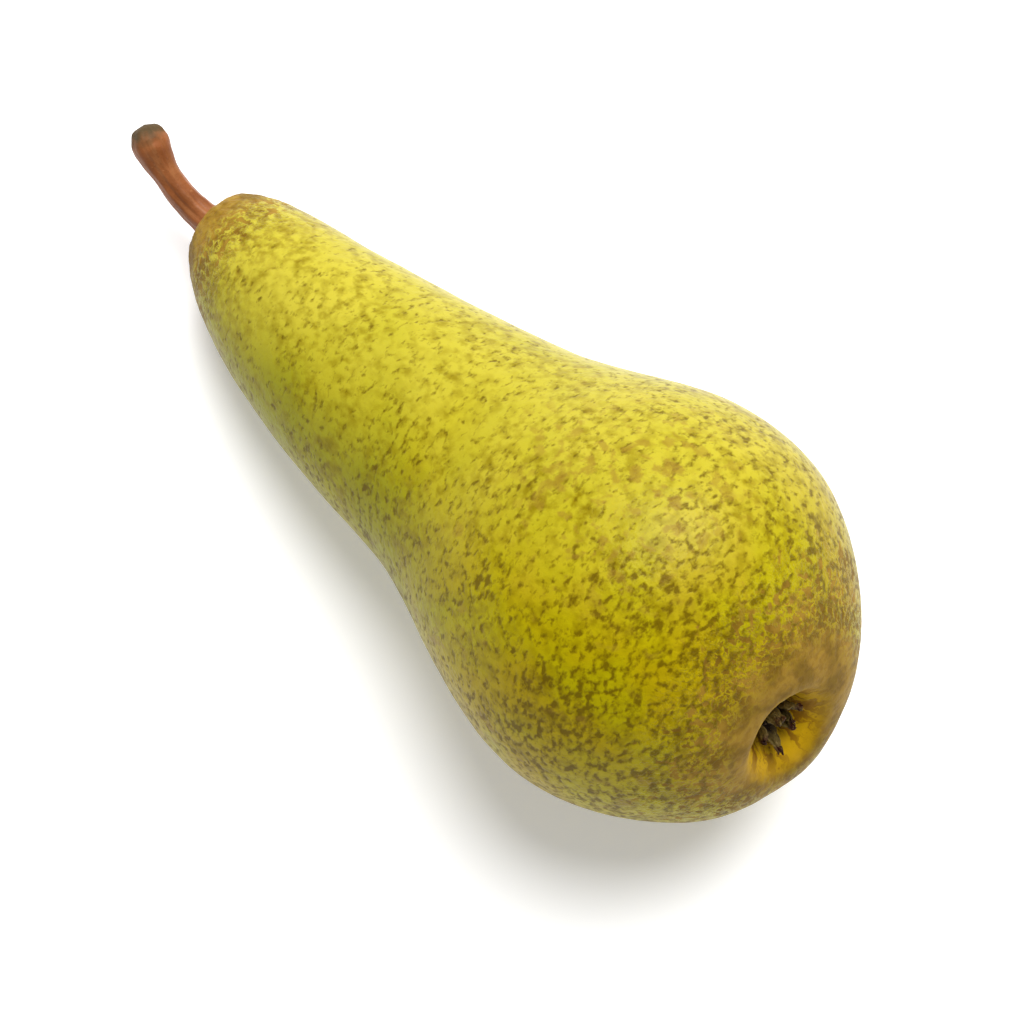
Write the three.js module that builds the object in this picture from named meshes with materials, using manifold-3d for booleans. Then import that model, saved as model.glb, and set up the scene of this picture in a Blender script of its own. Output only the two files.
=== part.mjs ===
// A ripe dessert pear lying on its side: one solid fruit, its woody stem, and
// the dried flower remains (sepals, stamens, styles) in the calyx basin.
//
// Units are millimetres and +Z is up. The fruit grows along its own axis: 0 is
// the crown, where the stem enters, and FRUIT_LENGTH is the calyx end. Lying
// down, that axis points along +X and climbs by REST_PITCH, because the fruit
// touches the ground with its belly and with its thinner neck. The origin is
// the middle of the flat spot under the belly.

import * as THREE from 'three';
import { mergeVertices } from 'three/addons/utils/BufferGeometryUtils.js';
import Module from 'manifold-3d';

const wasm = await Module();
wasm.setup();

// ---- driving dimensions ----------------------------------------------------

const FRUIT_LENGTH = 126.2;
const REST_PITCH = THREE.MathUtils.degToRad(13.4);
const BELLY_AT = 87.2; // where along the axis the belly touches the ground
const BELLY_RADIUS = 30.34;
const FLAT_DEPTH = 0.33; // how far the ground presses the skin flat

// Sideways growth, as one, two and three half waves over the fruit's length.
const SWAY = [0.63, 1.4, 0.36];
// The calyx end is not square to the axis: its upper side is shorter, and
// the slant grows a little with the height above or below the axis.
const CALYX_SLANT = Math.tan(THREE.MathUtils.degToRad(9));
const CALYX_BOW = { rate: 0.007, reach: 9 };
const SLANT_START = 0.8 * FRUIT_LENGTH;

// Outline of the fruit: radius r at distance x along the axis.
// A Bezier handle's length is called before or after its point.
const SOCKET = { r: 3.1, depth: 2.2 };
const CROWN_LIP = { r: 3.8, rise: 0.5, after: 3.4 };
const NECK_TOP = { x: 5.4, r: 9.75, slope: 0.52, before: 4.6, after: 12 };
const WAIST = { x: 62.1, r: 21.7, slope: 0.23, before: 12.7, after: 12.5 };
const GIRTH = { x: 97.8, r: 31.6, before: 15, after: 14.1 };
const CALYX_CREST = { r: 9, before: 9.1, after: 1.4 };
const BASIN_RIM = { x: FRUIT_LENGTH - 1.8, r: 5.7, slope: 0.55, reach: 2 };
const BASIN_FLOOR = { x: FRUIT_LENGTH - 5.6, r: 3.7 };
const CALYX_TUBE = { r: 1.9, depth: 1.8 };

const FRUIT_SEGMENTS = 64;
const CURVE_STEPS = 9;
const GAP = 0.3; // clearance between separate pieces

// Stem: its centre line in the fruit's own axes, and its radius on the way.
const STEM_PATH = [
  new THREE.Vector3(SOCKET.depth - 2 * GAP, 0, -0.2),
  new THREE.Vector3(-3.4, -0.9, 0.1),
  new THREE.Vector3(-8.6, -2, 5.4),
  new THREE.Vector3(-16.1, 1.8, 11.4),
];
const STEM_FOOT_RADIUS = 2.1;
const STEM_RADII = [
  { at: 0.13, r: STEM_FOOT_RADIUS },
  { at: 0.21, r: 2.85 },
  { at: 0.3, r: 2.5 },
  { at: 0.55, r: 2.25 },
  { at: 0.7, r: 2.3 },
  { at: 0.8, r: 2.75 },
  { at: 0.87, r: 3.1 },
  { at: 0.92, r: 2.95 },
  { at: 0.96, r: 2.45 },
  { at: 0.985, r: 1.7 },
];
const STEM_SEGMENTS = 20;
const STEM_STEPS = 28;
const KNOB_SIDE_SHIFT = 0.35; // the picked end swells more on one side

const SEPAL = { count: 5, length: 4.4, width: 2.8, thickness: 0.6, foot: 2.9, curl: 0.35, gutter: 0.35 };
const STAMEN = { count: 10, length: 3.1, filament: 0.15, anther: 0.26, ring: 1.2, lean: 0.12 };
const STYLES = { length: 3.4, foot: 0.42, head: 0.55 };

const SKIN = { color: 0xb4ab27, roughness: 0.45, metalness: 0 };
const BARK = { color: 0x8c5a32, roughness: 0.7, metalness: 0 };
const DRY_SEPAL = { color: 0x5c5232, roughness: 0.85, metalness: 0 };
const DRY_FILAMENT = { color: 0x2e2118, roughness: 0.9, metalness: 0 };

// ---- shared helpers --------------------------------------------------------

function moveVertices(geometry, move) {
  const position = geometry.attributes.position;
  const point = new THREE.Vector3();
  for (let i = 0; i < position.count; i += 1) {
    point.fromBufferAttribute(position, i);
    move(point);
    position.setXYZ(i, point.x, point.y, point.z);
  }
  return geometry;
}

// Welds shared vertices and drops the triangles that collapse at a pole.
function weld(geometry) {
  geometry.deleteAttribute('normal');
  geometry.deleteAttribute('uv');
  const welded = mergeVertices(geometry, 1e-4);
  const index = welded.index.array;
  const kept = [];
  for (let i = 0; i < index.length; i += 3) {
    const [a, b, c] = [index[i], index[i + 1], index[i + 2]];
    if (a !== b && b !== c && c !== a) kept.push(a, b, c);
  }
  welded.setIndex(kept);
  return welded;
}

function toSolid(geometry) {
  return new wasm.Manifold(new wasm.Mesh({
    numProp: 3,
    vertProperties: new Float32Array(geometry.attributes.position.array),
    triVerts: new Uint32Array(geometry.index.array),
  }));
}

function toGeometry(solid) {
  const mesh = solid.getMesh();
  const geometry = new THREE.BufferGeometry();
  geometry.setAttribute('position', new THREE.BufferAttribute(mesh.vertProperties, 3));
  geometry.setIndex(new THREE.BufferAttribute(mesh.triVerts, 1));
  return geometry;
}

function namedMesh(name, geometry, finish) {
  geometry.computeVertexNormals();
  const mesh = new THREE.Mesh(geometry, new THREE.MeshStandardMaterial(finish));
  mesh.name = name;
  return mesh;
}

// A solid of revolution whose outline holds (radius, distance along the axis),
// turned so that its axis is +X.
function turned(points, segments) {
  const geometry = new THREE.LatheGeometry(points, segments);
  return moveVertices(weld(geometry), (p) => p.set(p.y, p.z, p.x));
}

// ---- fruit -----------------------------------------------------------------

// The end of a Bezier handle that leaves a point in the outline at its slope.
function alongSlope({ x, r, slope }, distance) {
  const run = distance / Math.hypot(1, slope);
  return [r + slope * run, x + run];
}

function fruitOutline() {
  const outline = new THREE.Path();
  outline.moveTo(0, SOCKET.depth);
  outline.lineTo(SOCKET.r, SOCKET.depth);
  outline.lineTo(CROWN_LIP.r, CROWN_LIP.rise);
  outline.bezierCurveTo(
    CROWN_LIP.r + CROWN_LIP.after, CROWN_LIP.rise,
    ...alongSlope(NECK_TOP, -NECK_TOP.before),
    NECK_TOP.r, NECK_TOP.x,
  );
  outline.bezierCurveTo(
    ...alongSlope(NECK_TOP, NECK_TOP.after),
    ...alongSlope(WAIST, -WAIST.before),
    WAIST.r, WAIST.x,
  );
  outline.bezierCurveTo(
    ...alongSlope(WAIST, WAIST.after),
    GIRTH.r, GIRTH.x - GIRTH.before,
    GIRTH.r, GIRTH.x,
  );
  outline.bezierCurveTo(
    GIRTH.r, GIRTH.x + GIRTH.after,
    CALYX_CREST.r + CALYX_CREST.before, FRUIT_LENGTH,
    CALYX_CREST.r, FRUIT_LENGTH,
  );
  outline.bezierCurveTo(
    CALYX_CREST.r - CALYX_CREST.after, FRUIT_LENGTH,
    BASIN_RIM.r + BASIN_RIM.reach, BASIN_RIM.x + BASIN_RIM.slope * BASIN_RIM.reach,
    BASIN_RIM.r, BASIN_RIM.x,
  );
  outline.lineTo(BASIN_FLOOR.r, BASIN_FLOOR.x);
  outline.lineTo(CALYX_TUBE.r, BASIN_FLOOR.x);
  outline.lineTo(CALYX_TUBE.r, BASIN_FLOOR.x - CALYX_TUBE.depth);
  outline.lineTo(0, BASIN_FLOOR.x - CALYX_TUBE.depth);
  return outline.getPoints(CURVE_STEPS);
}

function swayAt(x) {
  const along = THREE.MathUtils.clamp(x / FRUIT_LENGTH, 0, 1);
  return -SWAY.reduce((sum, size, i) => sum + size * Math.sin((i + 1) * Math.PI * along), 0);
}

// The fruit's uneven growth, which carries the flower remains along with it.
function grow(point) {
  const nearCalyx = Math.max(point.x - SLANT_START, 0) / (FRUIT_LENGTH - SLANT_START);
  const slant = CALYX_SLANT + CALYX_BOW.rate * Math.min(Math.abs(point.z), CALYX_BOW.reach);
  point.y += swayAt(point.x);
  point.x -= slant * point.z * nearCalyx ** 2;
}

// Lays a group, or baked geometry, down from the fruit's axes to the ground.
function restingPlace() {
  const sin = Math.sin(REST_PITCH);
  const cos = Math.cos(REST_PITCH);
  const place = new THREE.Object3D();
  place.rotation.y = -REST_PITCH;
  place.position.set(
    -(BELLY_AT * cos + BELLY_RADIUS * sin),
    -swayAt(BELLY_AT),
    BELLY_RADIUS * cos - BELLY_AT * sin - FLAT_DEPTH,
  );
  place.updateMatrix();
  return place;
}

function fruitBody(place) {
  const flesh = moveVertices(turned(fruitOutline(), FRUIT_SEGMENTS), grow).applyMatrix4(place.matrix);
  const side = 4 * FRUIT_LENGTH;
  const ground = weld(new THREE.BoxGeometry(side, side, side)).translate(0, 0, -side / 2);
  return toGeometry(toSolid(flesh).subtract(toSolid(ground)));
}

// ---- stem ------------------------------------------------------------------

function stemOutline() {
  const radii = new THREE.SplineCurve([
    new THREE.Vector2(STEM_FOOT_RADIUS, 0),
    ...STEM_RADII.map(({ at, r }) => new THREE.Vector2(r, at)),
    new THREE.Vector2(0, 1),
  ]);
  return [new THREE.Vector2(0, 0), ...radii.getPoints(STEM_STEPS)];
}

function stem() {
  const path = new THREE.CubicBezierCurve3(...STEM_PATH);
  const up = new THREE.Vector3(0, 0, 1);
  return moveVertices(turned(stemOutline(), STEM_SEGMENTS), (point) => {
    const along = THREE.MathUtils.clamp(point.x, 0, 1);
    const centre = path.getPointAt(along);
    const tangent = path.getTangentAt(along);
    const side = new THREE.Vector3().crossVectors(up, tangent).normalize();
    const top = new THREE.Vector3().crossVectors(tangent, side);
    centre.addScaledVector(side, point.y - KNOB_SIDE_SHIFT * along ** 6);
    centre.addScaledVector(top, point.z);
    point.copy(centre);
  });
}

// ---- flower remains --------------------------------------------------------

// Small, repeatable differences between one dried piece and the next.
function unevenness(index) {
  return Math.sin(2.4 * index + 0.7);
}

function sepal(index) {
  const angle = (2 * Math.PI * (index + 0.3)) / SEPAL.count;
  const length = SEPAL.length * (1 + 0.12 * unevenness(index));
  const curl = SEPAL.curl * (1 + 0.35 * unevenness(index + 3));
  const bendRadius = length / curl;
  const blade = weld(new THREE.BoxGeometry(1, 1, 1, 6, 8, 1).translate(0, 0.5, 0));
  moveVertices(blade, (point) => {
    const width = SEPAL.width * (1 - point.y) ** 0.7 + 0.3;
    const thickness = SEPAL.thickness * (1 - 0.5 * point.y);
    const across = point.x * width;
    const bend = curl * point.y;
    const gutter = SEPAL.gutter * (2 * point.x) ** 2 * (1 - point.y);
    const outward = SEPAL.foot + bendRadius * (1 - Math.cos(bend)) + point.z * thickness * Math.cos(bend) - gutter;
    const along = BASIN_FLOOR.x + GAP + bendRadius * Math.sin(bend) - point.z * thickness * Math.sin(bend);
    point.set(
      along,
      outward * Math.cos(angle) - across * Math.sin(angle),
      outward * Math.sin(angle) + across * Math.cos(angle),
    );
    grow(point);
  });
  return blade;
}

function filament(length, foot, head) {
  const outline = [
    [0, 0],
    [foot, 0],
    [foot * 0.8, 0.7 * length],
    [head, 0.82 * length],
    [head * 0.8, 0.95 * length],
    [0, length],
  ].map(([r, x]) => new THREE.Vector2(r, x));
  return turned(outline, 8).translate(BASIN_FLOOR.x - CALYX_TUBE.depth + GAP, 0, 0);
}

function stamen(index) {
  const angle = (2 * Math.PI * index) / STAMEN.count;
  const length = STAMEN.length * (1 + 0.12 * unevenness(2 * index));
  return moveVertices(filament(length, STAMEN.filament, STAMEN.anther), (point) => {
    const lean = STAMEN.ring + STAMEN.lean * (point.x - BASIN_FLOOR.x + CALYX_TUBE.depth - GAP);
    point.y += lean * Math.cos(angle);
    point.z += lean * Math.sin(angle);
    grow(point);
  });
}

function styles() {
  return moveVertices(filament(STYLES.length, STYLES.foot, STYLES.head), grow);
}

// ---- assembly --------------------------------------------------------------

const place = restingPlace();
const pear = new THREE.Group();
pear.add(namedMesh('fruit_body', fruitBody(place), SKIN));

const onAxis = new THREE.Group();
onAxis.position.copy(place.position);
onAxis.rotation.copy(place.rotation);
pear.add(onAxis);
onAxis.add(namedMesh('stem', stem(), BARK));
for (let i = 0; i < SEPAL.count; i += 1) {
  onAxis.add(namedMesh(`sepal_${i + 1}`, sepal(i), DRY_SEPAL));
}
for (let i = 0; i < STAMEN.count; i += 1) {
  onAxis.add(namedMesh(`stamen_${i + 1}`, stamen(i), DRY_FILAMENT));
}
onAxis.add(namedMesh('styles', styles(), DRY_FILAMENT));

export default pear;
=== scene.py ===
"""A ripe, freckled dessert pear lying on its side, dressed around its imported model.

The fruit is a surface of revolution with uneven growth, made by Geometry Nodes from
one outline. The woody stem, the dried sepals and the dried stamens and styles are
pieces of their own. Sizes in the classes are millimetres; Blender's are metres.
"""

import logging
import math
import random
from dataclasses import dataclass, field
from enum import Enum
from typing import Any, Sequence

import bmesh
import bpy
from mathutils import Euler, Matrix, Vector, noise


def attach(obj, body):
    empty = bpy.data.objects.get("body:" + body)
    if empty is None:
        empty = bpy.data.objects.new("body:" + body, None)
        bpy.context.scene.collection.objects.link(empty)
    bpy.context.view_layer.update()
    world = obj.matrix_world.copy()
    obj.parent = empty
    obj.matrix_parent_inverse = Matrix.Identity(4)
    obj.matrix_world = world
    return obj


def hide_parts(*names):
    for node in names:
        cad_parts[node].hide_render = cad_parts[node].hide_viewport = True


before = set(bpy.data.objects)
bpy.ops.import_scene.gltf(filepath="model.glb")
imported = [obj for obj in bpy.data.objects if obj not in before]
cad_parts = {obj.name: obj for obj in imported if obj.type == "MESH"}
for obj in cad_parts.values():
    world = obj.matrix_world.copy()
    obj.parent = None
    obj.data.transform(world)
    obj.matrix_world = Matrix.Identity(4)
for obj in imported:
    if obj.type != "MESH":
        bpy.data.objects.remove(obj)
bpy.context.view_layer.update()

MM = 0.001
BODY = "root"
GRAIN = "grain"
WHITE = (1.0, 1.0, 1.0)
LOG = logging.getLogger("pear")

Colour = tuple[float, float, float]
Triple = tuple[float, float, float]
Span = tuple[float, float]


def srgb(red: int, green: int, blue: int) -> Colour:
    """Turns an 8-bit screen colour into the linear colour that shaders use.

    Args:
        red: Red, 0 to 255.
        green: Green, 0 to 255.
        blue: Blue, 0 to 255.

    Returns:
        The linear colour.
    """
    def channel(value: int) -> float:
        """Undoes the screen's gamma on one channel."""
        share = value / 255
        return share / 12.92 if share <= 0.04045 else ((share + 0.055) / 1.055) ** 2.4
    return channel(red), channel(green), channel(blue)


# ---- node graphs -------------------------------------------------------------


class Graph:
    """Builds one node tree, for a material, a group or a Geometry Nodes modifier."""

    def __init__(self, tree: bpy.types.NodeTree) -> None:
        """Wraps a tree.

        Args:
            tree: The tree that the nodes are added to.
        """
        self.tree = tree

    def add(self, kind: str, inputs: dict[Any, Any] | None = None, **settings: Any) -> bpy.types.Node:
        """Adds a node, sets its properties, and sets or links its inputs.

        Args:
            kind: The node's type name.
            inputs: Values or sockets, by input name or number.
            **settings: Properties of the node.

        Returns:
            The new node.
        """
        node = self.tree.nodes.new(kind)
        for name, value in settings.items():
            setattr(node, name, value)
        for name, value in (inputs or {}).items():
            self.feed(node.inputs[name], value)
        return node

    def feed(self, socket: bpy.types.NodeSocket, value: Any) -> None:
        """Links a socket to another, or sets its plain value.

        Args:
            socket: The input that is fed.
            value: A socket to link from, or a value.
        """
        if isinstance(value, bpy.types.NodeSocket):
            self.tree.links.new(value, socket)
        elif isinstance(value, (tuple, list)) and len(value) == 3 and socket.type == "RGBA":
            socket.default_value = (*value, 1.0)
        else:
            socket.default_value = value

    def math(self, operation: str, *values: Any, clamp: bool = False) -> bpy.types.NodeSocket:
        """Adds a Math node.

        Args:
            operation: The node's operation.
            *values: Up to three values or sockets.
            clamp: Whether the result is held between 0 and 1.

        Returns:
            The result.
        """
        inputs = dict(enumerate(values))
        return self.add("ShaderNodeMath", inputs, operation=operation, use_clamp=clamp).outputs[0]

    def times(self, first: Any, second: Any) -> bpy.types.NodeSocket:
        """Multiplies two numbers or sockets."""
        return self.math("MULTIPLY", first, second)

    def line(self, value: Any, slope: Any, start: Any) -> bpy.types.NodeSocket:
        """Multiplies a value by a slope and adds a start."""
        return self.math("MULTIPLY_ADD", value, slope, start)

    def measure(self, operation: str, first: Any, second: Any) -> bpy.types.NodeSocket:
        """Adds a Vector Math node that turns two vectors into one number."""
        return self.add("ShaderNodeVectorMath", {0: first, 1: second}, operation=operation).outputs["Value"]

    def vector(self, operation: str, *values: Any) -> bpy.types.NodeSocket:
        """Adds a Vector Math node with a vector result.

        Args:
            operation: The node's operation.
            *values: Up to three vectors or sockets.

        Returns:
            The resulting vector.
        """
        return self.add("ShaderNodeVectorMath", dict(enumerate(values)), operation=operation).outputs[0]

    def scaled(self, vector: Any, size: Any) -> bpy.types.NodeSocket:
        """Multiplies a vector by a number.

        Args:
            vector: The vector.
            size: The number or socket.

        Returns:
            The scaled vector.
        """
        return self.add("ShaderNodeVectorMath", {0: vector, "Scale": size}, operation="SCALE").outputs[0]

    def split(self, vector: Any) -> Sequence[bpy.types.NodeSocket]:
        """Separates a vector into its X, Y and Z sockets."""
        return self.add("ShaderNodeSeparateXYZ", {0: vector}).outputs

    def joined(self, x: Any, y: Any, z: Any) -> bpy.types.NodeSocket:
        """Combines X, Y and Z into a vector."""
        return self.add("ShaderNodeCombineXYZ", {0: x, 1: y, 2: z}).outputs[0]

    def ramp(self, value: Any, low: float, high: float) -> bpy.types.NodeSocket:
        """Maps a value smoothly from 0 at low to 1 at high.

        Args:
            value: The value or socket.
            low: Where the result is 0.
            high: Where the result is 1; it may be under low.

        Returns:
            The smooth step.
        """
        flipped = high < low
        inputs = {"Value": value, "From Min": min(low, high), "From Max": max(low, high)}
        if flipped:
            inputs.update({"To Min": 1.0, "To Max": 0.0})
        return self.add("ShaderNodeMapRange", inputs, interpolation_type="SMOOTHSTEP").outputs[0]

    def noise(self, vector: Any, size: float, detail: float = 2.0, rough: float = 0.5) -> bpy.types.Node:
        """Adds a Noise Texture.

        Args:
            vector: Where it is read, in millimetres.
            size: The size of its features, in millimetres.
            detail: How many finer layers it has.
            rough: How strong those layers are.

        Returns:
            The texture node.
        """
        inputs = {"Vector": vector, "Scale": 1 / size, "Detail": detail, "Roughness": rough}
        return self.add("ShaderNodeTexNoise", inputs, noise_dimensions="3D")

    def relief(self, vector: Any, size: Any, detail: float, height: Any) -> bpy.types.NodeSocket:
        """Adds noise centred on zero, as a height.

        Args:
            vector: Where it is read.
            size: The size of its features.
            detail: How many finer layers it has.
            height: The height from its lowest to its highest point.

        Returns:
            The height.
        """
        inputs = {"Vector": vector, "Scale": self.math("DIVIDE", 1.0, size), "Detail": detail}
        centred = self.math("SUBTRACT", self.add("ShaderNodeTexNoise", inputs).outputs[0], 0.5)
        return self.math("MULTIPLY", centred, height)

    def mix(self, share: Any, first: Any, second: Any) -> bpy.types.NodeSocket:
        """Mixes two colours.

        Args:
            share: How much of the second there is.
            first: The first colour.
            second: The second colour.

        Returns:
            The mixed colour.
        """
        node = self.add("ShaderNodeMix", data_type="RGBA")
        factor, a, b = (next(s for s in node.inputs if s.identifier == name)
                        for name in ("Factor_Float", "A_Color", "B_Color"))
        self.feed(factor, share)
        self.feed(a, first)
        self.feed(b, second)
        return next(s for s in node.outputs if s.identifier == "Result_Color")

    def coat(self, under: Any, over: Any, mask: Any, strength: Any = None) -> bpy.types.NodeSocket:
        """Lays one colour over another where a mask is.

        Args:
            under: The colour that is there.
            over: The colour that is laid over it.
            mask: Where the new colour lies, 0 to 1.
            strength: How well it covers where the mask is 1; fully, if it isn't given.

        Returns:
            The coated colour.
        """
        return self.mix(mask if strength is None else self.times(mask, strength), under, over)

    def use(self, effect: bpy.types.NodeTree, inputs: dict[str, Any]) -> Sequence[Any]:
        """Places a shared effect.

        Args:
            effect: The effect's group.
            inputs: Values or sockets, by the group's input names.

        Returns:
            The group's outputs.
        """
        node = self.add("ShaderNodeGroup", node_tree=effect)
        for name, value in inputs.items():
            self.feed(node.inputs[name], value)
        return node.outputs

    def bump(self, shader: bpy.types.Node, height: Any, strength: float, distance: float) -> None:
        """Gives a shader a bumpy surface.

        Args:
            shader: The shader.
            height: The height over the surface.
            strength: How much of it shows.
            distance: How far a height of 1 stands out, in metres.
        """
        inputs = {"Height": height, "Strength": strength, "Distance": distance}
        self.feed(shader.inputs["Normal"], self.add("ShaderNodeBump", inputs).outputs[0])


def new_group(name: str, kind: str, inputs: dict[str, tuple[str, Any]],
              outputs: dict[str, str]) -> tuple[Graph, Sequence[Any], Sequence[Any]]:
    """Makes a node group with named inputs and outputs.

    Args:
        name: The group's name.
        kind: The tree's type name.
        inputs: Socket type and default value, by input name.
        outputs: Socket type, by output name.

    Returns:
        The graph, the sockets that its inputs give, and the sockets that its outputs take.
    """
    tree = bpy.data.node_groups.new(name, kind)
    for label, (socket_type, value) in inputs.items():
        socket = tree.interface.new_socket(label, in_out="INPUT", socket_type=socket_type)
        if value is not None:
            socket.default_value = value
    for label, socket_type in outputs.items():
        tree.interface.new_socket(label, in_out="OUTPUT", socket_type=socket_type)
    graph = Graph(tree)
    return graph, graph.add("NodeGroupInput").outputs, graph.add("NodeGroupOutput").inputs


FLOAT = "NodeSocketFloat"
INTEGER = "NodeSocketInt"
VECTOR = "NodeSocketVector"
GEOMETRY = "NodeSocketGeometry"
MATERIAL = "NodeSocketMaterial"


def freckle_group() -> bpy.types.NodeTree:
    """Makes the group that scatters ragged freckles of uneven size.

    Returns:
        The shader node group.
    """
    graph, given, taken = new_group(
        "freckles", "ShaderNodeTree",
        {"Vector": (VECTOR, None), "Spacing": (FLOAT, 1.4), "Size": (FLOAT, 0.3),
         "Share": (FLOAT, 0.8), "Raggedness": (FLOAT, 0.5), "Softness": (FLOAT, 0.08)},
        {"Mask": FLOAT},
    )
    place = graph.vector("DIVIDE", given["Vector"], graph.joined(*[given["Spacing"]] * 3))
    wobble = graph.add("ShaderNodeTexNoise", {"Vector": place, "Scale": 2.3, "Detail": 2.0})
    centred = graph.vector("SUBTRACT", wobble.outputs["Color"], (0.5, 0.5, 0.5))
    warped = graph.vector("ADD", place, graph.scaled(centred, given["Raggedness"]))
    cells = graph.add("ShaderNodeTexVoronoi", {"Vector": warped, "Scale": 1.0})
    red, green, _ = graph.split(cells.outputs["Color"])
    reach = graph.times(given["Size"], graph.line(red, 0.8, 0.45))
    inside = graph.math("SUBTRACT", reach, cells.outputs["Distance"])
    soft = graph.math("DIVIDE", inside, given["Softness"], clamp=True)
    kept = graph.math("LESS_THAN", green, given["Share"])
    graph.feed(taken["Mask"], graph.times(soft, kept))
    return graph.tree


def squiggle_group() -> bpy.types.NodeTree:
    """Makes the group that draws short bent dashes where freckles have run together.

    Returns:
        The shader node group.
    """
    graph, given, taken = new_group(
        "squiggles", "ShaderNodeTree",
        {"Vector": (VECTOR, None), "Size": (FLOAT, 1.0), "Cover": (FLOAT, 0.2),
         "Softness": (FLOAT, 0.06)},
        {"Mask": FLOAT},
    )
    inputs = {"Vector": given["Vector"], "Scale": graph.math("DIVIDE", 1.0, given["Size"]),
              "Detail": 3.0, "Roughness": 0.5, "Distortion": 0.15}
    field = graph.add("ShaderNodeTexNoise", inputs).outputs[0]
    limit = graph.line(given["Cover"], -0.32, 0.66)
    above = graph.math("DIVIDE", graph.math("SUBTRACT", field, limit), given["Softness"], clamp=True)
    graph.feed(taken["Mask"], above)
    return graph.tree


def cloud_group() -> bpy.types.NodeTree:
    """Makes the group that gives uneven growth: a broad, a middle and a fine mottle.

    Returns:
        The shader node group.
    """
    graph, given, taken = new_group(
        "growth_clouds", "ShaderNodeTree",
        {"Vector": (VECTOR, None), "Broad Size": (FLOAT, 25.0), "Fine Size": (FLOAT, 0.8)},
        {"Broad": FLOAT, "Middle": FLOAT, "Fine": FLOAT},
    )
    middle = graph.math("SQRT", graph.times(given["Broad Size"], given["Fine Size"]))
    for label, size in (("Broad", given["Broad Size"]), ("Middle", middle), ("Fine", given["Fine Size"])):
        inputs = {"Vector": given["Vector"], "Scale": graph.math("DIVIDE", 1.0, size), "Detail": 3.0}
        graph.feed(taken[label], graph.add("ShaderNodeTexNoise", inputs).outputs["Fac"])
    return graph.tree


def fibre_group() -> bpy.types.NodeTree:
    """Makes the group that draws long fibres along one direction of its vector.

    Returns:
        The shader node group.
    """
    graph, given, taken = new_group(
        "fibres", "ShaderNodeTree",
        {"Vector": (VECTOR, None), "Width": (FLOAT, 0.3), "Stretch": (FLOAT, 12.0)},
        {"Streak": FLOAT, "Ridge": FLOAT},
    )
    along, across, depth = graph.split(given["Vector"])
    drawn = graph.joined(graph.math("DIVIDE", along, given["Stretch"]), across, depth)
    scale = graph.math("DIVIDE", 1.0, given["Width"])
    inputs = {"Vector": drawn, "Scale": scale, "Detail": 4.0, "Roughness": 0.6}
    streak = graph.add("ShaderNodeTexNoise", inputs)
    folded = graph.math("ABSOLUTE", graph.math("SUBTRACT", streak.outputs["Fac"], 0.5))
    graph.feed(taken["Streak"], streak.outputs["Fac"])
    graph.feed(taken["Ridge"], graph.math("MULTIPLY", folded, 6.0, clamp=True))
    return graph.tree


@dataclass(frozen=True)
class Effects:
    """The node groups that more than one finish uses."""

    freckles: bpy.types.NodeTree = field(default_factory=freckle_group)
    squiggles: bpy.types.NodeTree = field(default_factory=squiggle_group)
    clouds: bpy.types.NodeTree = field(default_factory=cloud_group)
    fibres: bpy.types.NodeTree = field(default_factory=fibre_group)


# ---- the fruit's own axes ----------------------------------------------------


@dataclass(frozen=True)
class FruitAxes:
    """How the fruit's axis, from crown to calyx, is bent and lies over the ground."""

    length: float = 126.2
    pitch: float = math.radians(13.4)
    belly_at: float = 87.2
    belly_radius: float = 30.34
    flat_depth: float = 0.33
    sway: tuple[float, float, float] = (0.63, 1.4, 0.36)
    slant: float = math.tan(math.radians(9))
    slant_from: float = 101.0
    bow: float = 0.007
    bow_reach: float = 9.0

    def sway_at(self, along: float) -> float:
        """How far the axis leans sideways at a distance along it."""
        share = min(max(along / self.length, 0), 1)
        return -sum(size * math.sin((i + 1) * math.pi * share) for i, size in enumerate(self.sway))

    def place(self) -> Vector:
        """The crown's place in the row frame, in millimetres."""
        sine, cosine = math.sin(self.pitch), math.cos(self.pitch)
        return Vector((
            -(self.belly_at * cosine + self.belly_radius * sine),
            -self.sway_at(self.belly_at),
            self.belly_radius * cosine - self.belly_at * sine - self.flat_depth,
        ))

    def turn(self) -> Matrix:
        """The rotation that lays the fruit down."""
        return Matrix.Rotation(-self.pitch, 3, "Y")

    def grow(self, point: Vector) -> Vector:
        """Applies the fruit's uneven growth: its sway, and the lean of its calyx end.

        Args:
            point: A point in the fruit's axes, in millimetres.

        Returns:
            The point after growth.
        """
        steep = (max(point.x - self.slant_from, 0) / (self.length - self.slant_from)) ** 2
        lean = point.z * (self.slant + self.bow * min(abs(point.z), self.bow_reach))
        return Vector((point.x - lean * steep, point.y + self.sway_at(point.x), point.z))

    def to_row(self, point: Vector) -> Vector:
        """Takes a point from the fruit's axes in millimetres to the row frame in metres."""
        return (self.turn() @ point + self.place()) * MM

    def coordinates(self, graph: Graph) -> bpy.types.NodeSocket:
        """Adds nodes that give a shader the fruit's own axes, in millimetres.

        Args:
            graph: The material's graph.

        Returns:
            The coordinate socket.
        """
        back = self.turn().inverted()
        inputs = {
            "Vector": graph.add("ShaderNodeTexCoord").outputs["Object"],
            "Location": -(back @ self.place()),
            "Rotation": Euler((0, self.pitch, 0)),
            "Scale": (1 / MM, 1 / MM, 1 / MM),
        }
        return graph.add("ShaderNodeMapping", inputs, vector_type="POINT").outputs[0]


# ---- finishes ----------------------------------------------------------------


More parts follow.
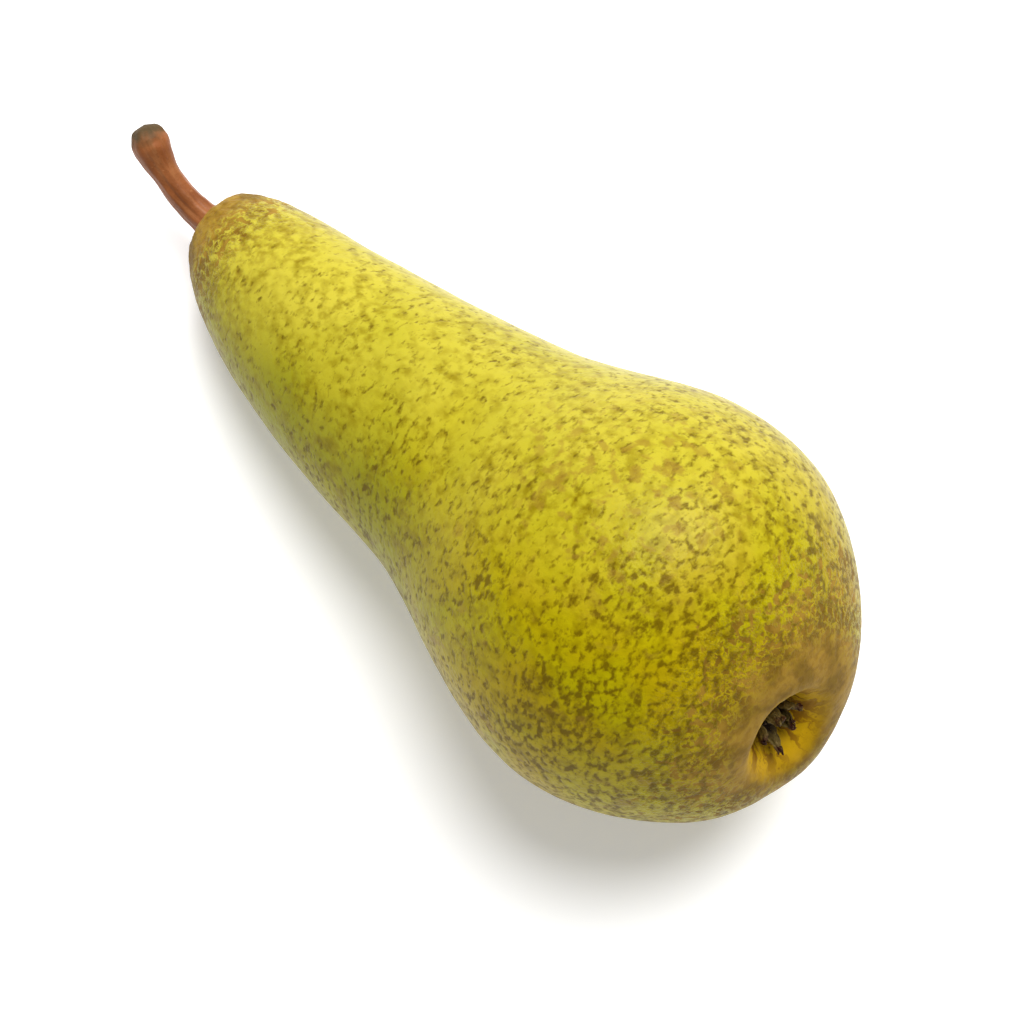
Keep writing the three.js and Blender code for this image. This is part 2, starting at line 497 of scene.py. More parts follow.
def new_material(name: str, plain: dict[str, Any]) -> tuple[bpy.types.Material, Graph, bpy.types.Node]:
    """Makes an empty material with one Principled shader.

    Args:
        name: The material's name.
        plain: The shader's values that are the same all over, by socket name.

    Returns:
        The material, its graph and the shader.
    """
    material = bpy.data.materials.new(name)
    material.use_nodes = True
    material.node_tree.nodes.clear()
    graph = Graph(material.node_tree)
    shader = graph.add("ShaderNodeBsdfPrincipled", plain)
    graph.add("ShaderNodeOutputMaterial", {"Surface": shader.outputs[0]})
    return material, graph, shader


def grain_of(graph: Graph) -> bpy.types.NodeSocket:
    """Adds a node that reads a piece's own grain."""
    return graph.add("ShaderNodeAttribute", attribute_name=GRAIN).outputs["Vector"]


@dataclass(frozen=True)
class SkinFinish:
    """Waxy golden-green skin, flecked all over, with russet round the calyx and the stem, a paler painted
    highlight on the side towards the light, and painted shade in the calyx basin's hollow.

    Sizes are millimetres in the fruit's own axes. A Span says where a thing begins and
    where it is full, along the fruit, by distance, or in the mottle that breaks it up.
    """

    axes: FruitAxes
    effects: Effects
    # painted highlight colour, laid on the side of the skin that faces the light
    painted_highlight: Colour = srgb(184, 171, 54)
    yellow: Colour = srgb(168, 155, 2)
    green: Colour = srgb(146, 142, 2)
    gold: Colour = srgb(168, 138, 4)
    olive: Colour = srgb(122, 103, 0)
    fleck: Colour = srgb(96, 75, 0)
    flake: Colour = srgb(140, 110, 36)
    crease: Colour = srgb(116, 86, 12)
    russet: Colour = srgb(148, 112, 38)
    russet_dark: Colour = srgb(114, 83, 18)
    basin: Colour = srgb(190, 150, 6)
    basin_dark: Colour = srgb(112, 68, 6)
    # painted shade for the deep middle of the calyx basin
    painted_pit_shade: Colour = srgb(38, 18, 6)
    cloud_sizes: Span = (24.0, 1.1)
    drift_size: float = 14.0
    # painted light: the side the paler painted highlight lies on, how it fades and how it is broken up
    painted_light_side: Triple = (-0.3, 0.5, 0.77)
    painted_light_span: Span = (-19.0, 9.0)
    painted_light_drift: float = 20.0
    green_mottle: Span = (0.36, 0.62)
    green_span: Span = (115.0, 50.0)
    gold_mottle: Span = (0.4, 0.64)
    gold_span: Span = (50.0, 105.0)
    gold_strength: float = 0.6
    olive_size: float = 1.7
    olive_mottle: Span = (0.2, 0.8)
    squeeze: float = 1.5
    fleck_spacing: float = 1.9
    fleck_size: float = 0.3
    fleck_strength: float = 0.85
    dash_size: float = 1.35
    crowd_size: float = 9.0
    bulb_span: Span = (0.0, 120.0)
    bulb_crowd: float = 0.16
    shade_span: Span = (4.0, -26.0)
    shade_crowd: float = 0.22
    shoulder_span: Span = (88.0, 116.0)
    shoulder_crowd: float = 0.13
    flake_size: float = 2.2
    flake_strength: float = 0.6
    flake_patch: Triple = (94.0, 5.0, 29.0)
    flake_reach: Span = (24.0, 8.0)
    flake_mottle: Span = (0.48, 0.66)
    flake_span: Span = (55.0, 85.0)
    calyx_middle: Triple = (124.0, 2.0, 1.5)
    calyx_span: Span = (34.0, 7.0)
    crown_span: Span = (19.0, 2.0)
    russet_mottle: Span = (0.88, 1.02)
    russet_tones: Span = (0.38, 0.62)
    russet_strength: float = 0.88
    net_size: float = 1.5
    crease_size: float = 1.3
    crease_span: Span = (30.0, 2.0)
    crease_strength: float = 0.88
    basin_span: Span = (9.4, 6.4)
    basin_strength: float = 0.85
    painted_pit_shade_span: Span = (5.2, 3.6)
    pore_size: float = 0.5
    pore_height: float = 0.5
    fleck_height: float = -0.5
    mottle_height: float = 1.2
    net_height: float = 1.6
    crease_height: float = -1.2

    def build(self) -> bpy.types.Material:
        """Builds the skin material.

        Returns:
            The finished material.
        """
        material, graph, shader = new_material("pear_skin", {
            "Subsurface Weight": 0.12, "Subsurface Radius": (1.0, 0.7, 0.1),
            "Subsurface Scale": 0.7 * MM, "Specular IOR Level": 0.065})
        place = self.axes.coordinates(graph)
        broad, fine = self.cloud_sizes
        clouds = graph.use(self.effects.clouds, {"Vector": place, "Broad Size": broad, "Fine Size": fine})
        marks = self.marks(graph, place)
        russet, strands = self.russet_cover(graph, place)
        creases = self.creases(graph, place)
        tan = graph.mix(graph.ramp(clouds["Middle"], *self.russet_tones), self.russet, self.russet_dark)
        colour = graph.coat(self.ground(graph, place, clouds), self.fleck, marks, self.fleck_strength)
        colour = graph.coat(colour, self.flake, self.flakes(graph, place), self.flake_strength)
        colour = graph.coat(colour, self.crease, creases, self.crease_strength)
        colour = graph.coat(colour, tan, russet, self.russet_strength)
        colour = graph.coat(colour, self.fleck, marks, graph.times(russet, 0.25))
        colour = self.basin_colour(graph, place, colour)
        graph.feed(shader.inputs["Base Color"], colour)
        dull = graph.math("MAXIMUM", graph.times(marks, 0.5), russet)
        graph.feed(shader.inputs["Roughness"], graph.line(dull, 0.25, 0.3))
        pores = graph.noise(place, self.pore_size, 3.0, 0.6).outputs["Fac"]
        height = graph.line(marks, self.fleck_height, graph.times(pores, self.pore_height))
        height = graph.line(clouds["Fine"], self.mottle_height, height)
        height = graph.line(strands, self.net_height, height)
        height = graph.line(creases, self.crease_height, height)
        graph.bump(shader, height, 0.45, 0.15 * MM)
        return material

    def ground(self, graph: Graph, place: Any, clouds: Any) -> bpy.types.NodeSocket:
        """The skin's colour under its flecks: greener on the neck, more golden on the bulb, with a paler
        painted highlight laid on the side towards the light.

        Args:
            graph: The material's graph.
            place: The fruit's coordinates.
            clouds: The growth mottle.

        Returns:
            The colour.
        """
        along = graph.split(place)[0]
        drift = graph.noise(graph.vector("ADD", place, (40.0, 9.0, 3.0)), self.drift_size).outputs["Fac"]
        # painted highlight: the paler colour goes where the skin faces the light
        toward_light = graph.math("SUBTRACT", self.toward_painted_light(graph, place), self.painted_light_drift / 2)
        lit = graph.ramp(graph.line(drift, self.painted_light_drift, toward_light), *self.painted_light_span)
        greener = graph.ramp(clouds["Broad"], *self.green_mottle)
        colour = graph.mix(graph.times(greener, graph.ramp(along, *self.green_span)), self.yellow, self.green)
        warm = graph.times(graph.ramp(drift, *self.gold_mottle), graph.ramp(along, *self.gold_span))
        colour = graph.coat(colour, self.gold, warm, self.gold_strength)
        colour = graph.coat(colour, self.painted_highlight, lit)
        mottle = graph.use(self.effects.squiggles, {
            "Vector": place, "Size": self.olive_size, "Cover": 0.74, "Softness": 0.24})
        shaded = graph.ramp(clouds["Middle"], *self.olive_mottle)
        return graph.coat(colour, self.olive, mottle["Mask"], shaded)

    def toward_painted_light(self, graph: Graph, place: Any) -> bpy.types.NodeSocket:
        """How far a point lies towards the key light, which places the painted highlight and the painted
        shade.
        """
        return graph.measure("DOT_PRODUCT", place, self.painted_light_side)

    def marks(self, graph: Graph, place: Any) -> bpy.types.NodeSocket:
        """The flecks, and the short dashes where they have run together.

        Args:
            graph: The material's graph.
            place: The fruit's coordinates.

        Returns:
            The mask of all marks.
        """
        squeezed = graph.vector("MULTIPLY", place, (self.squeeze, 1.0, 1.0))
        along = graph.split(place)[0]
        crowd = graph.noise(place, self.crowd_size).outputs["Fac"]
        crowd = graph.line(graph.ramp(along, *self.bulb_span), self.bulb_crowd, crowd)
        # painted shade: more flecks crowd the side turned away from the light
        shade = graph.ramp(self.toward_painted_light(graph, place), *self.shade_span)
        crowd = graph.line(shade, self.shade_crowd, crowd)
        crowd = graph.line(graph.ramp(along, *self.shoulder_span), self.shoulder_crowd, crowd)
        share = graph.line(crowd, 0.6, 0.35)
        flecks = graph.use(self.effects.freckles, {
            "Vector": squeezed, "Spacing": self.fleck_spacing, "Size": self.fleck_size, "Share": share,
            "Raggedness": 0.8, "Softness": 0.26})
        fine = graph.use(self.effects.freckles, {
            "Vector": graph.vector("ADD", squeezed, (7.0, 3.0, 5.0)), "Spacing": self.fleck_spacing * 0.62,
            "Size": self.fleck_size, "Share": graph.times(share, 0.5), "Raggedness": 0.6, "Softness": 0.3})
        dashes = graph.use(self.effects.squiggles, {
            "Vector": squeezed, "Size": self.dash_size, "Cover": graph.line(crowd, 0.78, -0.16),
            "Softness": 0.17})
        dots = graph.math("MAXIMUM", flecks["Mask"], graph.times(fine["Mask"], 0.6))
        return graph.math("MAXIMUM", graph.times(dots, 0.85), dashes["Mask"])

    def flakes(self, graph: Graph, place: Any) -> bpy.types.NodeSocket:
        """The soft tan flakes that gather in patches on the bulb.

        Args:
            graph: The material's graph.
            place: The fruit's coordinates.

        Returns:
            The mask.
        """
        spots = graph.use(self.effects.squiggles, {
            "Vector": place, "Size": self.flake_size, "Cover": 0.4, "Softness": 0.1})
        away = graph.measure("DISTANCE", place, self.flake_patch)
        patches = graph.noise(graph.vector("ADD", place, (3.0, 21.0, 8.0)), 10.0).outputs["Fac"]
        along = graph.split(place)[0]
        strewn = graph.times(graph.ramp(patches, *self.flake_mottle), graph.ramp(along, *self.flake_span))
        return graph.times(spots["Mask"], graph.math("MAXIMUM", strewn, graph.ramp(away, *self.flake_reach)))

    def russet_cover(self, graph: Graph, place: Any) -> tuple[bpy.types.NodeSocket, bpy.types.NodeSocket]:
        """Where russet covers the skin: solid round both ends, broken by a yellow net further out.

        Args:
            graph: The material's graph.
            place: The fruit's coordinates.

        Returns:
            The cover, 0 to 1, and the raised strands of the net.
        """
        calyx = graph.ramp(graph.measure("DISTANCE", place, self.calyx_middle), *self.calyx_span)
        crown = graph.ramp(graph.split(place)[0], *self.crown_span)
        reach = graph.math("MAXIMUM", calyx, crown)
        fine = graph.noise(place, 1.5, 3.0, 0.6).outputs["Fac"]
        broad = graph.noise(place, 6.0, 2.0).outputs["Fac"]
        mottle = graph.math("ADD", graph.times(fine, 0.75), graph.times(broad, 0.5))
        cover = graph.ramp(graph.line(reach, 0.7, mottle), *self.russet_mottle)
        net = graph.use(self.effects.fibres, {"Vector": place, "Width": self.net_size, "Stretch": 1.0})
        strands = graph.times(graph.ramp(net["Ridge"], 0.5, 0.1), graph.ramp(reach, 1.0, 0.7))
        strands = graph.times(strands, graph.ramp(reach, 0.1, 0.4))
        return graph.times(cover, graph.math("SUBTRACT", 1.0, strands)), strands

    def creases(self, graph: Graph, place: Any) -> bpy.types.NodeSocket:
        """The brownish creases between the wrinkles of the crown.

        Args:
            graph: The material's graph.
            place: The fruit's coordinates.

        Returns:
            The mask.
        """
        lines = graph.use(self.effects.squiggles, {
            "Vector": place, "Size": self.crease_size, "Cover": 0.72, "Softness": 0.2})
        return graph.times(lines["Mask"], graph.ramp(graph.split(place)[0], *self.crease_span))

    def basin_colour(self, graph: Graph, place: Any, colour: Any) -> bpy.types.NodeSocket:
        """Colours the calyx basin: golden, with brown streaks that run out from the sepals, and painted shade
        darkening its hollow middle.

        Args:
            graph: The material's graph.
            place: The fruit's coordinates.
            colour: The skin's colour so far.

        Returns:
            The colour.
        """
        along, side, height = graph.split(place)
        radius = graph.math("SQRT", graph.line(side, side, graph.times(height, height)))
        hollow = graph.times(graph.ramp(radius, *self.basin_span), graph.ramp(along, 95.0, 105.0))
        angle = graph.math("ARCTAN2", height, side)
        wander = graph.noise(place, 1.6, 2.0).outputs["Fac"]
        polar = graph.joined(radius, graph.line(wander, 2.6, graph.times(angle, 5.0)), 0.0)
        streaks = graph.use(self.effects.fibres, {"Vector": polar, "Width": 1.1, "Stretch": 4.0})
        inner = graph.line(graph.ramp(radius, 8.5, 4.0), 0.6, 0.4)
        dark = graph.times(graph.ramp(streaks["Streak"], 0.47, 0.56), inner)
        specks = graph.use(self.effects.freckles, {
            "Vector": place, "Spacing": 0.9, "Size": 0.26, "Share": 0.4, "Softness": 0.2})
        dark = graph.math("MAXIMUM", dark, graph.times(specks["Mask"], 0.75))
        streaked = graph.mix(dark, self.basin, self.basin_dark)
        # painted shade: near black towards the middle of the basin's hollow
        streaked = graph.coat(streaked, self.painted_pit_shade, graph.ramp(radius, *self.painted_pit_shade_span), 0.9)
        return graph.coat(colour, streaked, hollow, self.basin_strength)


@dataclass(frozen=True)
class BarkFinish:
    """Reddish-brown stem bark with lengthwise fibres and a grey-olive picked end."""

    effects: Effects
    warm: Colour = srgb(146, 86, 46)
    dark: Colour = srgb(104, 54, 20)
    pale: Colour = srgb(168, 116, 72)
    tip: Colour = srgb(70, 60, 36)
    foot: Colour = srgb(150, 104, 46)
    tip_span: Span = (18.0, 21.0)
    foot_span: Span = (4.4, 1.5)
    wander: float = 3.0

    def build(self) -> bpy.types.Material:
        """Builds the bark material.

        Returns:
            The finished material.
        """
        material, graph, shader = new_material("stem_bark", {"Specular IOR Level": 0.2})
        grain = grain_of(graph)
        clouds = graph.use(self.effects.clouds, {"Vector": grain, "Broad Size": 5.0, "Fine Size": 0.35})
        fibres = graph.use(self.effects.fibres, {"Vector": grain, "Width": 1.1, "Stretch": 7.0})
        warts = graph.use(self.effects.freckles, {
            "Vector": grain, "Spacing": 1.5, "Size": 0.16, "Share": 0.3})
        along = graph.math("SUBTRACT", graph.split(grain)[0], self.wander / 2)
        along = graph.line(clouds["Middle"], self.wander, along)
        weathered = graph.ramp(along, *self.tip_span)
        colour = graph.coat(self.warm, self.dark, graph.ramp(clouds["Broad"], 0.4, 0.7), 0.6)
        colour = graph.coat(colour, self.pale, graph.ramp(fibres["Streak"], 0.4, 0.75), 0.4)
        colour = graph.coat(colour, self.dark, graph.ramp(clouds["Fine"], 0.5, 0.8), 0.3)
        colour = graph.coat(colour, self.tip, weathered, 0.9)
        colour = graph.coat(colour, self.foot, graph.ramp(along, *self.foot_span), 0.7)
        colour = graph.coat(colour, self.pale, warts["Mask"], 0.5)
        graph.feed(shader.inputs["Base Color"], colour)
        graph.feed(shader.inputs["Roughness"], graph.line(weathered, 0.25, 0.45))
        graph.bump(shader, graph.line(clouds["Fine"], 0.6, fibres["Streak"]), 0.4, 0.2 * MM)
        return material


@dataclass(frozen=True)
class DryFinish:
    """Withered flower remains: dark at the foot, olive-brown higher up, with pale crumpled tips."""

    effects: Effects
    name: str
    foot: Colour
    flesh: Colour
    pale: Colour
    scorched: Colour
    foot_span: Span = (0.25, 0.62)
    tip_span: Span = (0.6, 0.85)
    scorched_span: Span = (0.76, 0.9)

    def build(self) -> bpy.types.Material:
        """Builds the withered material.

        Returns:
            The finished material.
        """
        material, graph, shader = new_material(self.name, {"Specular IOR Level": 0.15})
        place = graph.scaled(graph.add("ShaderNodeTexCoord").outputs["Object"], 1 / MM)
        grain = grain_of(graph)
        share, across, _ = graph.split(grain)
        clouds = graph.use(self.effects.clouds, {"Vector": place, "Broad Size": 2.2, "Fine Size": 0.18})
        fibres = graph.use(self.effects.fibres, {"Vector": grain, "Width": 0.3, "Stretch": 6.0})
        specks = graph.use(self.effects.squiggles, {"Vector": place, "Size": 0.35, "Cover": 0.2})
        uneven = graph.line(graph.math("SUBTRACT", clouds["Middle"], 0.5), 0.7, share)
        tips = graph.times(graph.ramp(uneven, *self.tip_span), graph.ramp(clouds["Fine"], 0.4, 0.6))
        burnt = graph.times(graph.ramp(share, *self.scorched_span), graph.ramp(clouds["Broad"], 0.38, 0.5))
        edges = graph.math("POWER", graph.math("ABSOLUTE", across), 4.0)
        colour = graph.mix(graph.ramp(uneven, *self.foot_span), self.foot, self.flesh)
        colour = graph.coat(colour, self.foot, graph.ramp(fibres["Streak"], 0.45, 0.65), 0.4)
        colour = graph.coat(colour, self.pale, tips, 0.85)
        colour = graph.coat(colour, self.scorched, burnt)
        colour = graph.coat(colour, self.pale, specks["Mask"], 0.45)
        colour = graph.coat(colour, self.pale, edges, 0.25)
        graph.feed(shader.inputs["Base Color"], colour)
        graph.feed(shader.inputs["Roughness"], graph.line(clouds["Fine"], 0.3, 0.5))
        graph.bump(shader, graph.line(clouds["Fine"], 0.8, fibres["Streak"]), 0.6, 0.12 * MM)
        return material


@dataclass(frozen=True)
class Finishes:
    """Every finish that the object uses, built once."""

    skin: bpy.types.Material
    bark: bpy.types.Material
    sepal: bpy.types.Material
    filament: bpy.types.Material

    @classmethod
    def build(cls, axes: FruitAxes) -> "Finishes":
        """Builds all finishes around one set of shared effects.

        Args:
            axes: The fruit's axes, which every pattern follows.

        Returns:
            The finishes.
        """
        effects = Effects()
        # the sepals' near black foot colour is partly their own colour and partly painted shade of the
        # basin's hollow they stand in
        sepal = DryFinish(effects, "dry_sepal", foot=srgb(34, 16, 6), flesh=srgb(92, 76, 30),
                          pale=srgb(124, 106, 60), scorched=srgb(48, 10, 6))
        filament = DryFinish(effects, "dry_filament", foot=srgb(34, 18, 14), flesh=srgb(58, 36, 26),
                             pale=srgb(104, 82, 58), scorched=srgb(22, 10, 14))
        skin = SkinFinish(axes, effects)
        return cls(skin.build(), BarkFinish(effects).build(), sepal.build(), filament.build())


# ---- making pieces -----------------------------------------------------------


class Slot(Enum):
    """The record's material slots."""

    SKIN = "skin"
    BARK = "stem_bark"
    SEPAL = "dry_sepal"
    FILAMENT = "dry_filament"


def linked(name: str, mesh: bpy.types.Mesh) -> bpy.types.Object:
    """Puts a mesh into the scene as an object at the origin.

    Args:
        name: The object's name.
        mesh: Its mesh.

    Returns:
        The object.
    """
    piece = bpy.data.objects.new(name, mesh)
    bpy.context.scene.collection.objects.link(piece)
    return piece


def mesh_of(name: str, points: Sequence[Sequence[float]], edges: Sequence[Sequence[int]] = (),
            faces: Sequence[Sequence[int]] = (), grain: Sequence[Sequence[float]] = ()) -> bpy.types.Mesh:
    """Makes a mesh from plain lists.

    Args:
        name: The mesh's name.
        points: Its vertices, in metres.
        edges: Its loose edges.
        faces: Its faces.
        grain: For each vertex, its place along and across the piece's own grain.

    Returns:
        The mesh.
    """
    mesh = bpy.data.meshes.new(name)
    mesh.from_pydata([tuple(point) for point in points], list(edges), list(faces))
    if grain:
        layer = mesh.attributes.new(GRAIN, "FLOAT_VECTOR", "POINT")
        layer.data.foreach_set("vector", [number for row in grain for number in row])
    return mesh


def through_nodes(name: str, source: bpy.types.Object, tree: bpy.types.NodeTree,
                  values: dict[str, Any]) -> bpy.types.Object:
    """Runs a Geometry Nodes tree on an object and keeps the result as a plain mesh.

    Args:
        name: The finished piece's name.
        source: The object that the tree starts from; it is removed.
        tree: The tree.
        values: The modifier's inputs, by name.

    Returns:
        The finished piece.
    """
    modifier = source.modifiers.new("growth", "NODES")
    modifier.node_group = tree
    for item in tree.interface.items_tree:
        if item.item_type == "SOCKET" and item.in_out == "INPUT" and item.name in values:
            modifier[item.identifier] = values[item.name]
    bpy.context.view_layer.update()
    evaluated = source.evaluated_get(bpy.context.evaluated_depsgraph_get())
    mesh = bpy.data.meshes.new_from_object(evaluated)
    mesh.name = name
    materials = [v for v in values.values() if isinstance(v, bpy.types.Material)]
    if not mesh.materials and materials:
        mesh.materials.append(materials[0])
    bpy.data.objects.remove(source)
    return linked(name, mesh)


def outward(piece: bpy.types.Object) -> None:
    """Welds a piece's doubles, turns its faces outwards and smooths its shading.

    Args:
        piece: The piece, whose mesh is changed.
    """
    shape = bmesh.new()
    shape.from_mesh(piece.data)
    bmesh.ops.remove_doubles(shape, verts=shape.verts, dist=1e-7)
    bmesh.ops.recalc_face_normals(shape, faces=shape.faces)
    shape.to_mesh(piece.data)
    shape.free()
    piece.data.shade_smooth()


def hand_over(piece: bpy.types.Object, slot: Slot, *nodes: str) -> None:
    """Gives a finished piece its body, hides the CAD nodes that it stands for and reports it.

    Args:
        piece: The finished piece.
        slot: The record's slot for its finish; it is not used.
        *nodes: The CAD nodes that it replaces.
    """
    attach(piece, BODY)
    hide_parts(*nodes)
    LOG.info("%s: %d faces, stands for %s", piece.name, len(piece.data.polygons), ", ".join(nodes))


def bezier(points: Sequence[Sequence[float]], share: float) -> Vector:
    """A point on a cubic Bezier curve.

    Args:
        points: Its four control points.
        share: The place along it, 0 to 1.

    Returns:
        The point.
    """
    rest = 1 - share
    weights = (rest ** 3, 3 * rest ** 2 * share, 3 * rest * share ** 2, share ** 3)
    return sum((Vector(p) * w for p, w in zip(points, weights)), Vector([0.0] * len(points[0])))


@dataclass(frozen=True)
class Bend:
    """A point of the outline, its slope there, and how far its two curve handles reach."""

    x: float
    r: float
    slope: float = 0.0
    before: float = 0.0
    after: float = 0.0

    @property
    def at(self) -> Span:
        """The point itself."""
        return self.x, self.r

    def handle(self, distance: float) -> Span:
        """The end of a Bezier handle that leaves the point along its slope."""
        run = distance / math.hypot(1, self.slope)
        return self.x + run, self.r + self.slope * run

    def curve_to(self, other: "Bend") -> list[Span]:
        """The curve that runs smoothly on to another point."""
        return [self.at, self.handle(self.after), other.handle(-other.before), other.at]


def straight(a: Span, b: Span) -> list[Span]:
    """A straight stretch of the outline, as a curve."""
    return [(a[0] + (b[0] - a[0]) * k / 3, a[1] + (b[1] - a[1]) * k / 3) for k in range(4)]


@dataclass
class Fruit:
    """The fruit: one outline turned round its axis, with uneven growth and flat spots."""

    axes: FruitAxes
    segments: int = 300
    step: float = 0.52
    crown_rise: float = 0.5
    crown_radius: float = 3.8
    crown_handle: float = 7.2
    neck: Bend = Bend(5.4, 9.75, 0.52, before=4.6, after=12)
    waist: Bend = Bend(62.1, 21.7, 0.23, before=12.7, after=12.5)
    girth: Bend = Bend(97.8, 31.6, before=15, after=14.1)
    crest_radius: float = 9.0
    crest_before: float = 9.1
    crest_after: float = 1.4
    rim: Bend = Bend(124.4, 5.7, 0.55, before=2.0)
    floor: Bend = Bend(120.6, 3.7)
    tube_radius: float = 1.9
    tube_depth: float = 1.8
    corner_softening: int = 3
    lump_size: float = 22.0
    lump_height: float = 0.9
    dimple_size: float = 4.5
    dimple_height: float = 0.16
    lobe_count: float = 5.0
    lobe_height: float = -0.12
    wrinkle_height: float = 0.16
    pucker_size: float = 1.5
    pucker_height: float = 0.5

    def curves(self) -> list[list[Span]]:
        """The outline's Bezier curves, from the crown to the bottom of the calyx tube.

        Returns:
            Control points as (distance along the axis, radius).
        """
        end = self.axes.length
        crown = (self.crown_rise, self.crown_radius)
        crest = (end, self.crest_radius)
        tube_floor = self.floor.x - self.tube_depth
        return [
            straight((self.crown_rise, 0.0), crown),
            [crown, (self.crown_rise, self.crown_handle), self.neck.handle(-self.neck.before), self.neck.at],
            self.neck.curve_to(self.waist),
            self.waist.curve_to(self.girth),
            [self.girth.at, self.girth.handle(self.girth.after),
             (end, self.crest_radius + self.crest_before), crest],
            [crest, (end, self.crest_radius - self.crest_after),
             (self.rim.x + self.rim.slope * self.rim.before, self.rim.r + self.rim.before), self.rim.at],
            straight(self.rim.at, self.floor.at),
            straight(self.floor.at, (self.floor.x, self.tube_radius)),
            straight((self.floor.x, self.tube_radius), (tube_floor, self.tube_radius)),
            straight((tube_floor, self.tube_radius), (tube_floor, 0.0)),
        ]

    def outline(self) -> list[Vector]:
        """The outline in even steps, with its corners in the basin softened.

        Returns:
            Points as (distance along the axis, radius, 0), in millimetres.
        """
        points: list[Vector] = []
        for curve in self.curves():
            rough = sum((Vector(b) - Vector(a)).length for a, b in zip(curve, curve[1:]))
            count = max(round(rough / self.step), 3)
            points += [bezier(curve, k / count) for k in range(count)]
        points.append(Vector(self.curves()[-1][-1]))
        for _ in range(self.corner_softening):
            points = [points[0]] + [
                (a + 2 * b + c) / 4 for a, b, c in zip(points, points[1:], points[2:])
            ] + [points[-1]]
        return [Vector((p.x, p.y, 0)) for p in points]

    def growth(self) -> dict[str, float]:
        """The numbers of the growth tree, by the name of its input."""
        axes = self.axes
        return {
            "Length": axes.length, "Sway One": axes.sway[0], "Sway Two": axes.sway[1],
            "Sway Three": axes.sway[2], "Slant": axes.slant, "Slant From": axes.slant_from,
            "Bow": axes.bow, "Bow Reach": axes.bow_reach, "Pitch": axes.pitch,
            "Lump Size": self.lump_size, "Lump Height": self.lump_height,
            "Dimple Size": self.dimple_size, "Dimple Height": self.dimple_height,
            "Lobe Count": self.lobe_count, "Lobe Height": self.lobe_height,
            "Wrinkle Height": self.wrinkle_height,
            "Pucker Size": self.pucker_size, "Pucker Height": self.pucker_height,
        }

    def lathed(self, graph: Graph, given: Any) -> bpy.types.NodeSocket:
        """Adds nodes that turn the outline round its axis.

        Args:
            graph: The tree's graph.
            given: The sockets of the tree's inputs.

        Returns:
            The smooth body, closed along its seam and at its poles.
        """
        rings = given["Rings"]
        grid = graph.add("GeometryNodeMeshGrid", {
            "Size X": 1.0, "Size Y": 1.0, "Vertices X": rings,
            "Vertices Y": graph.math("ADD", given["Segments"], 1)})
        across, around, _ = graph.split(graph.add("GeometryNodeInputPosition").outputs[0])
        last = graph.math("SUBTRACT", rings, 1)
        ring = graph.math("ROUND", graph.times(graph.math("ADD", across, 0.5), last))
        sample = graph.add("GeometryNodeSampleIndex", data_type="FLOAT_VECTOR", domain="POINT")
        graph.feed(sample.inputs["Geometry"], given["Outline"])
        graph.feed(sample.inputs["Value"], graph.add("GeometryNodeInputPosition").outputs[0])
        graph.feed(sample.inputs["Index"], ring)
        along, radius, _ = graph.split(sample.outputs[0])
        angle = graph.times(graph.math("ADD", around, 0.5), 2 * math.pi)
        side = graph.times(radius, graph.math("COSINE", angle))
        height = graph.times(radius, graph.math("SINE", angle))
        turned = graph.joined(along, side, height)
        body = graph.add("GeometryNodeSetPosition", {"Geometry": grid.outputs["Mesh"], "Position": turned})
        merge = {"Geometry": body.outputs[0], "Distance": 1e-4}
        return graph.add("GeometryNodeMergeByDistance", merge).outputs[0]

    def relief(self, graph: Graph, given: Any) -> bpy.types.NodeSocket:
        """Adds nodes for how far the skin stands out: lumps, dimples, lobes and wrinkles.

        Args:
            graph: The tree's graph.
            given: The sockets of the tree's inputs.

        Returns:
            The height over the lathed body.
        """
        spot = graph.add("GeometryNodeInputPosition").outputs[0]
        x, y, z = graph.split(spot)
        lumps = graph.relief(spot, given["Lump Size"], 1.5, given["Lump Height"])
        dimples = graph.relief(spot, given["Dimple Size"], 2.0, given["Dimple Height"])
        around = graph.math("ARCTAN2", z, y)
        far = graph.math("SQRT", graph.line(y, y, graph.times(z, z)))
        at_end = graph.times(graph.ramp(x, 100.0, 124.0), graph.ramp(far, 2.0, 9.0))
        lobes = graph.math("COSINE", graph.line(around, given["Lobe Count"], 0.8))
        lobes = graph.times(graph.times(lobes, at_end), given["Lobe Height"])
        folds = graph.joined(graph.times(graph.math("COSINE", around), 3.4),
                             graph.times(graph.math("SINE", around), 3.4), graph.times(far, 0.12))
        near_calyx = graph.times(graph.ramp(x, 110.0, 122.0), graph.ramp(far, 13.0, 6.0))
        puckers = graph.relief(spot, given["Pucker Size"], 2.0, given["Pucker Height"])
        puckers = graph.times(puckers, graph.ramp(x, 14.0, 3.0))
        wrinkles = graph.relief(folds, 0.55, 2.0, given["Wrinkle Height"])
        wrinkles = graph.line(wrinkles, near_calyx, puckers)
        return graph.math("ADD", graph.math("ADD", lumps, dimples), graph.math("ADD", lobes, wrinkles))

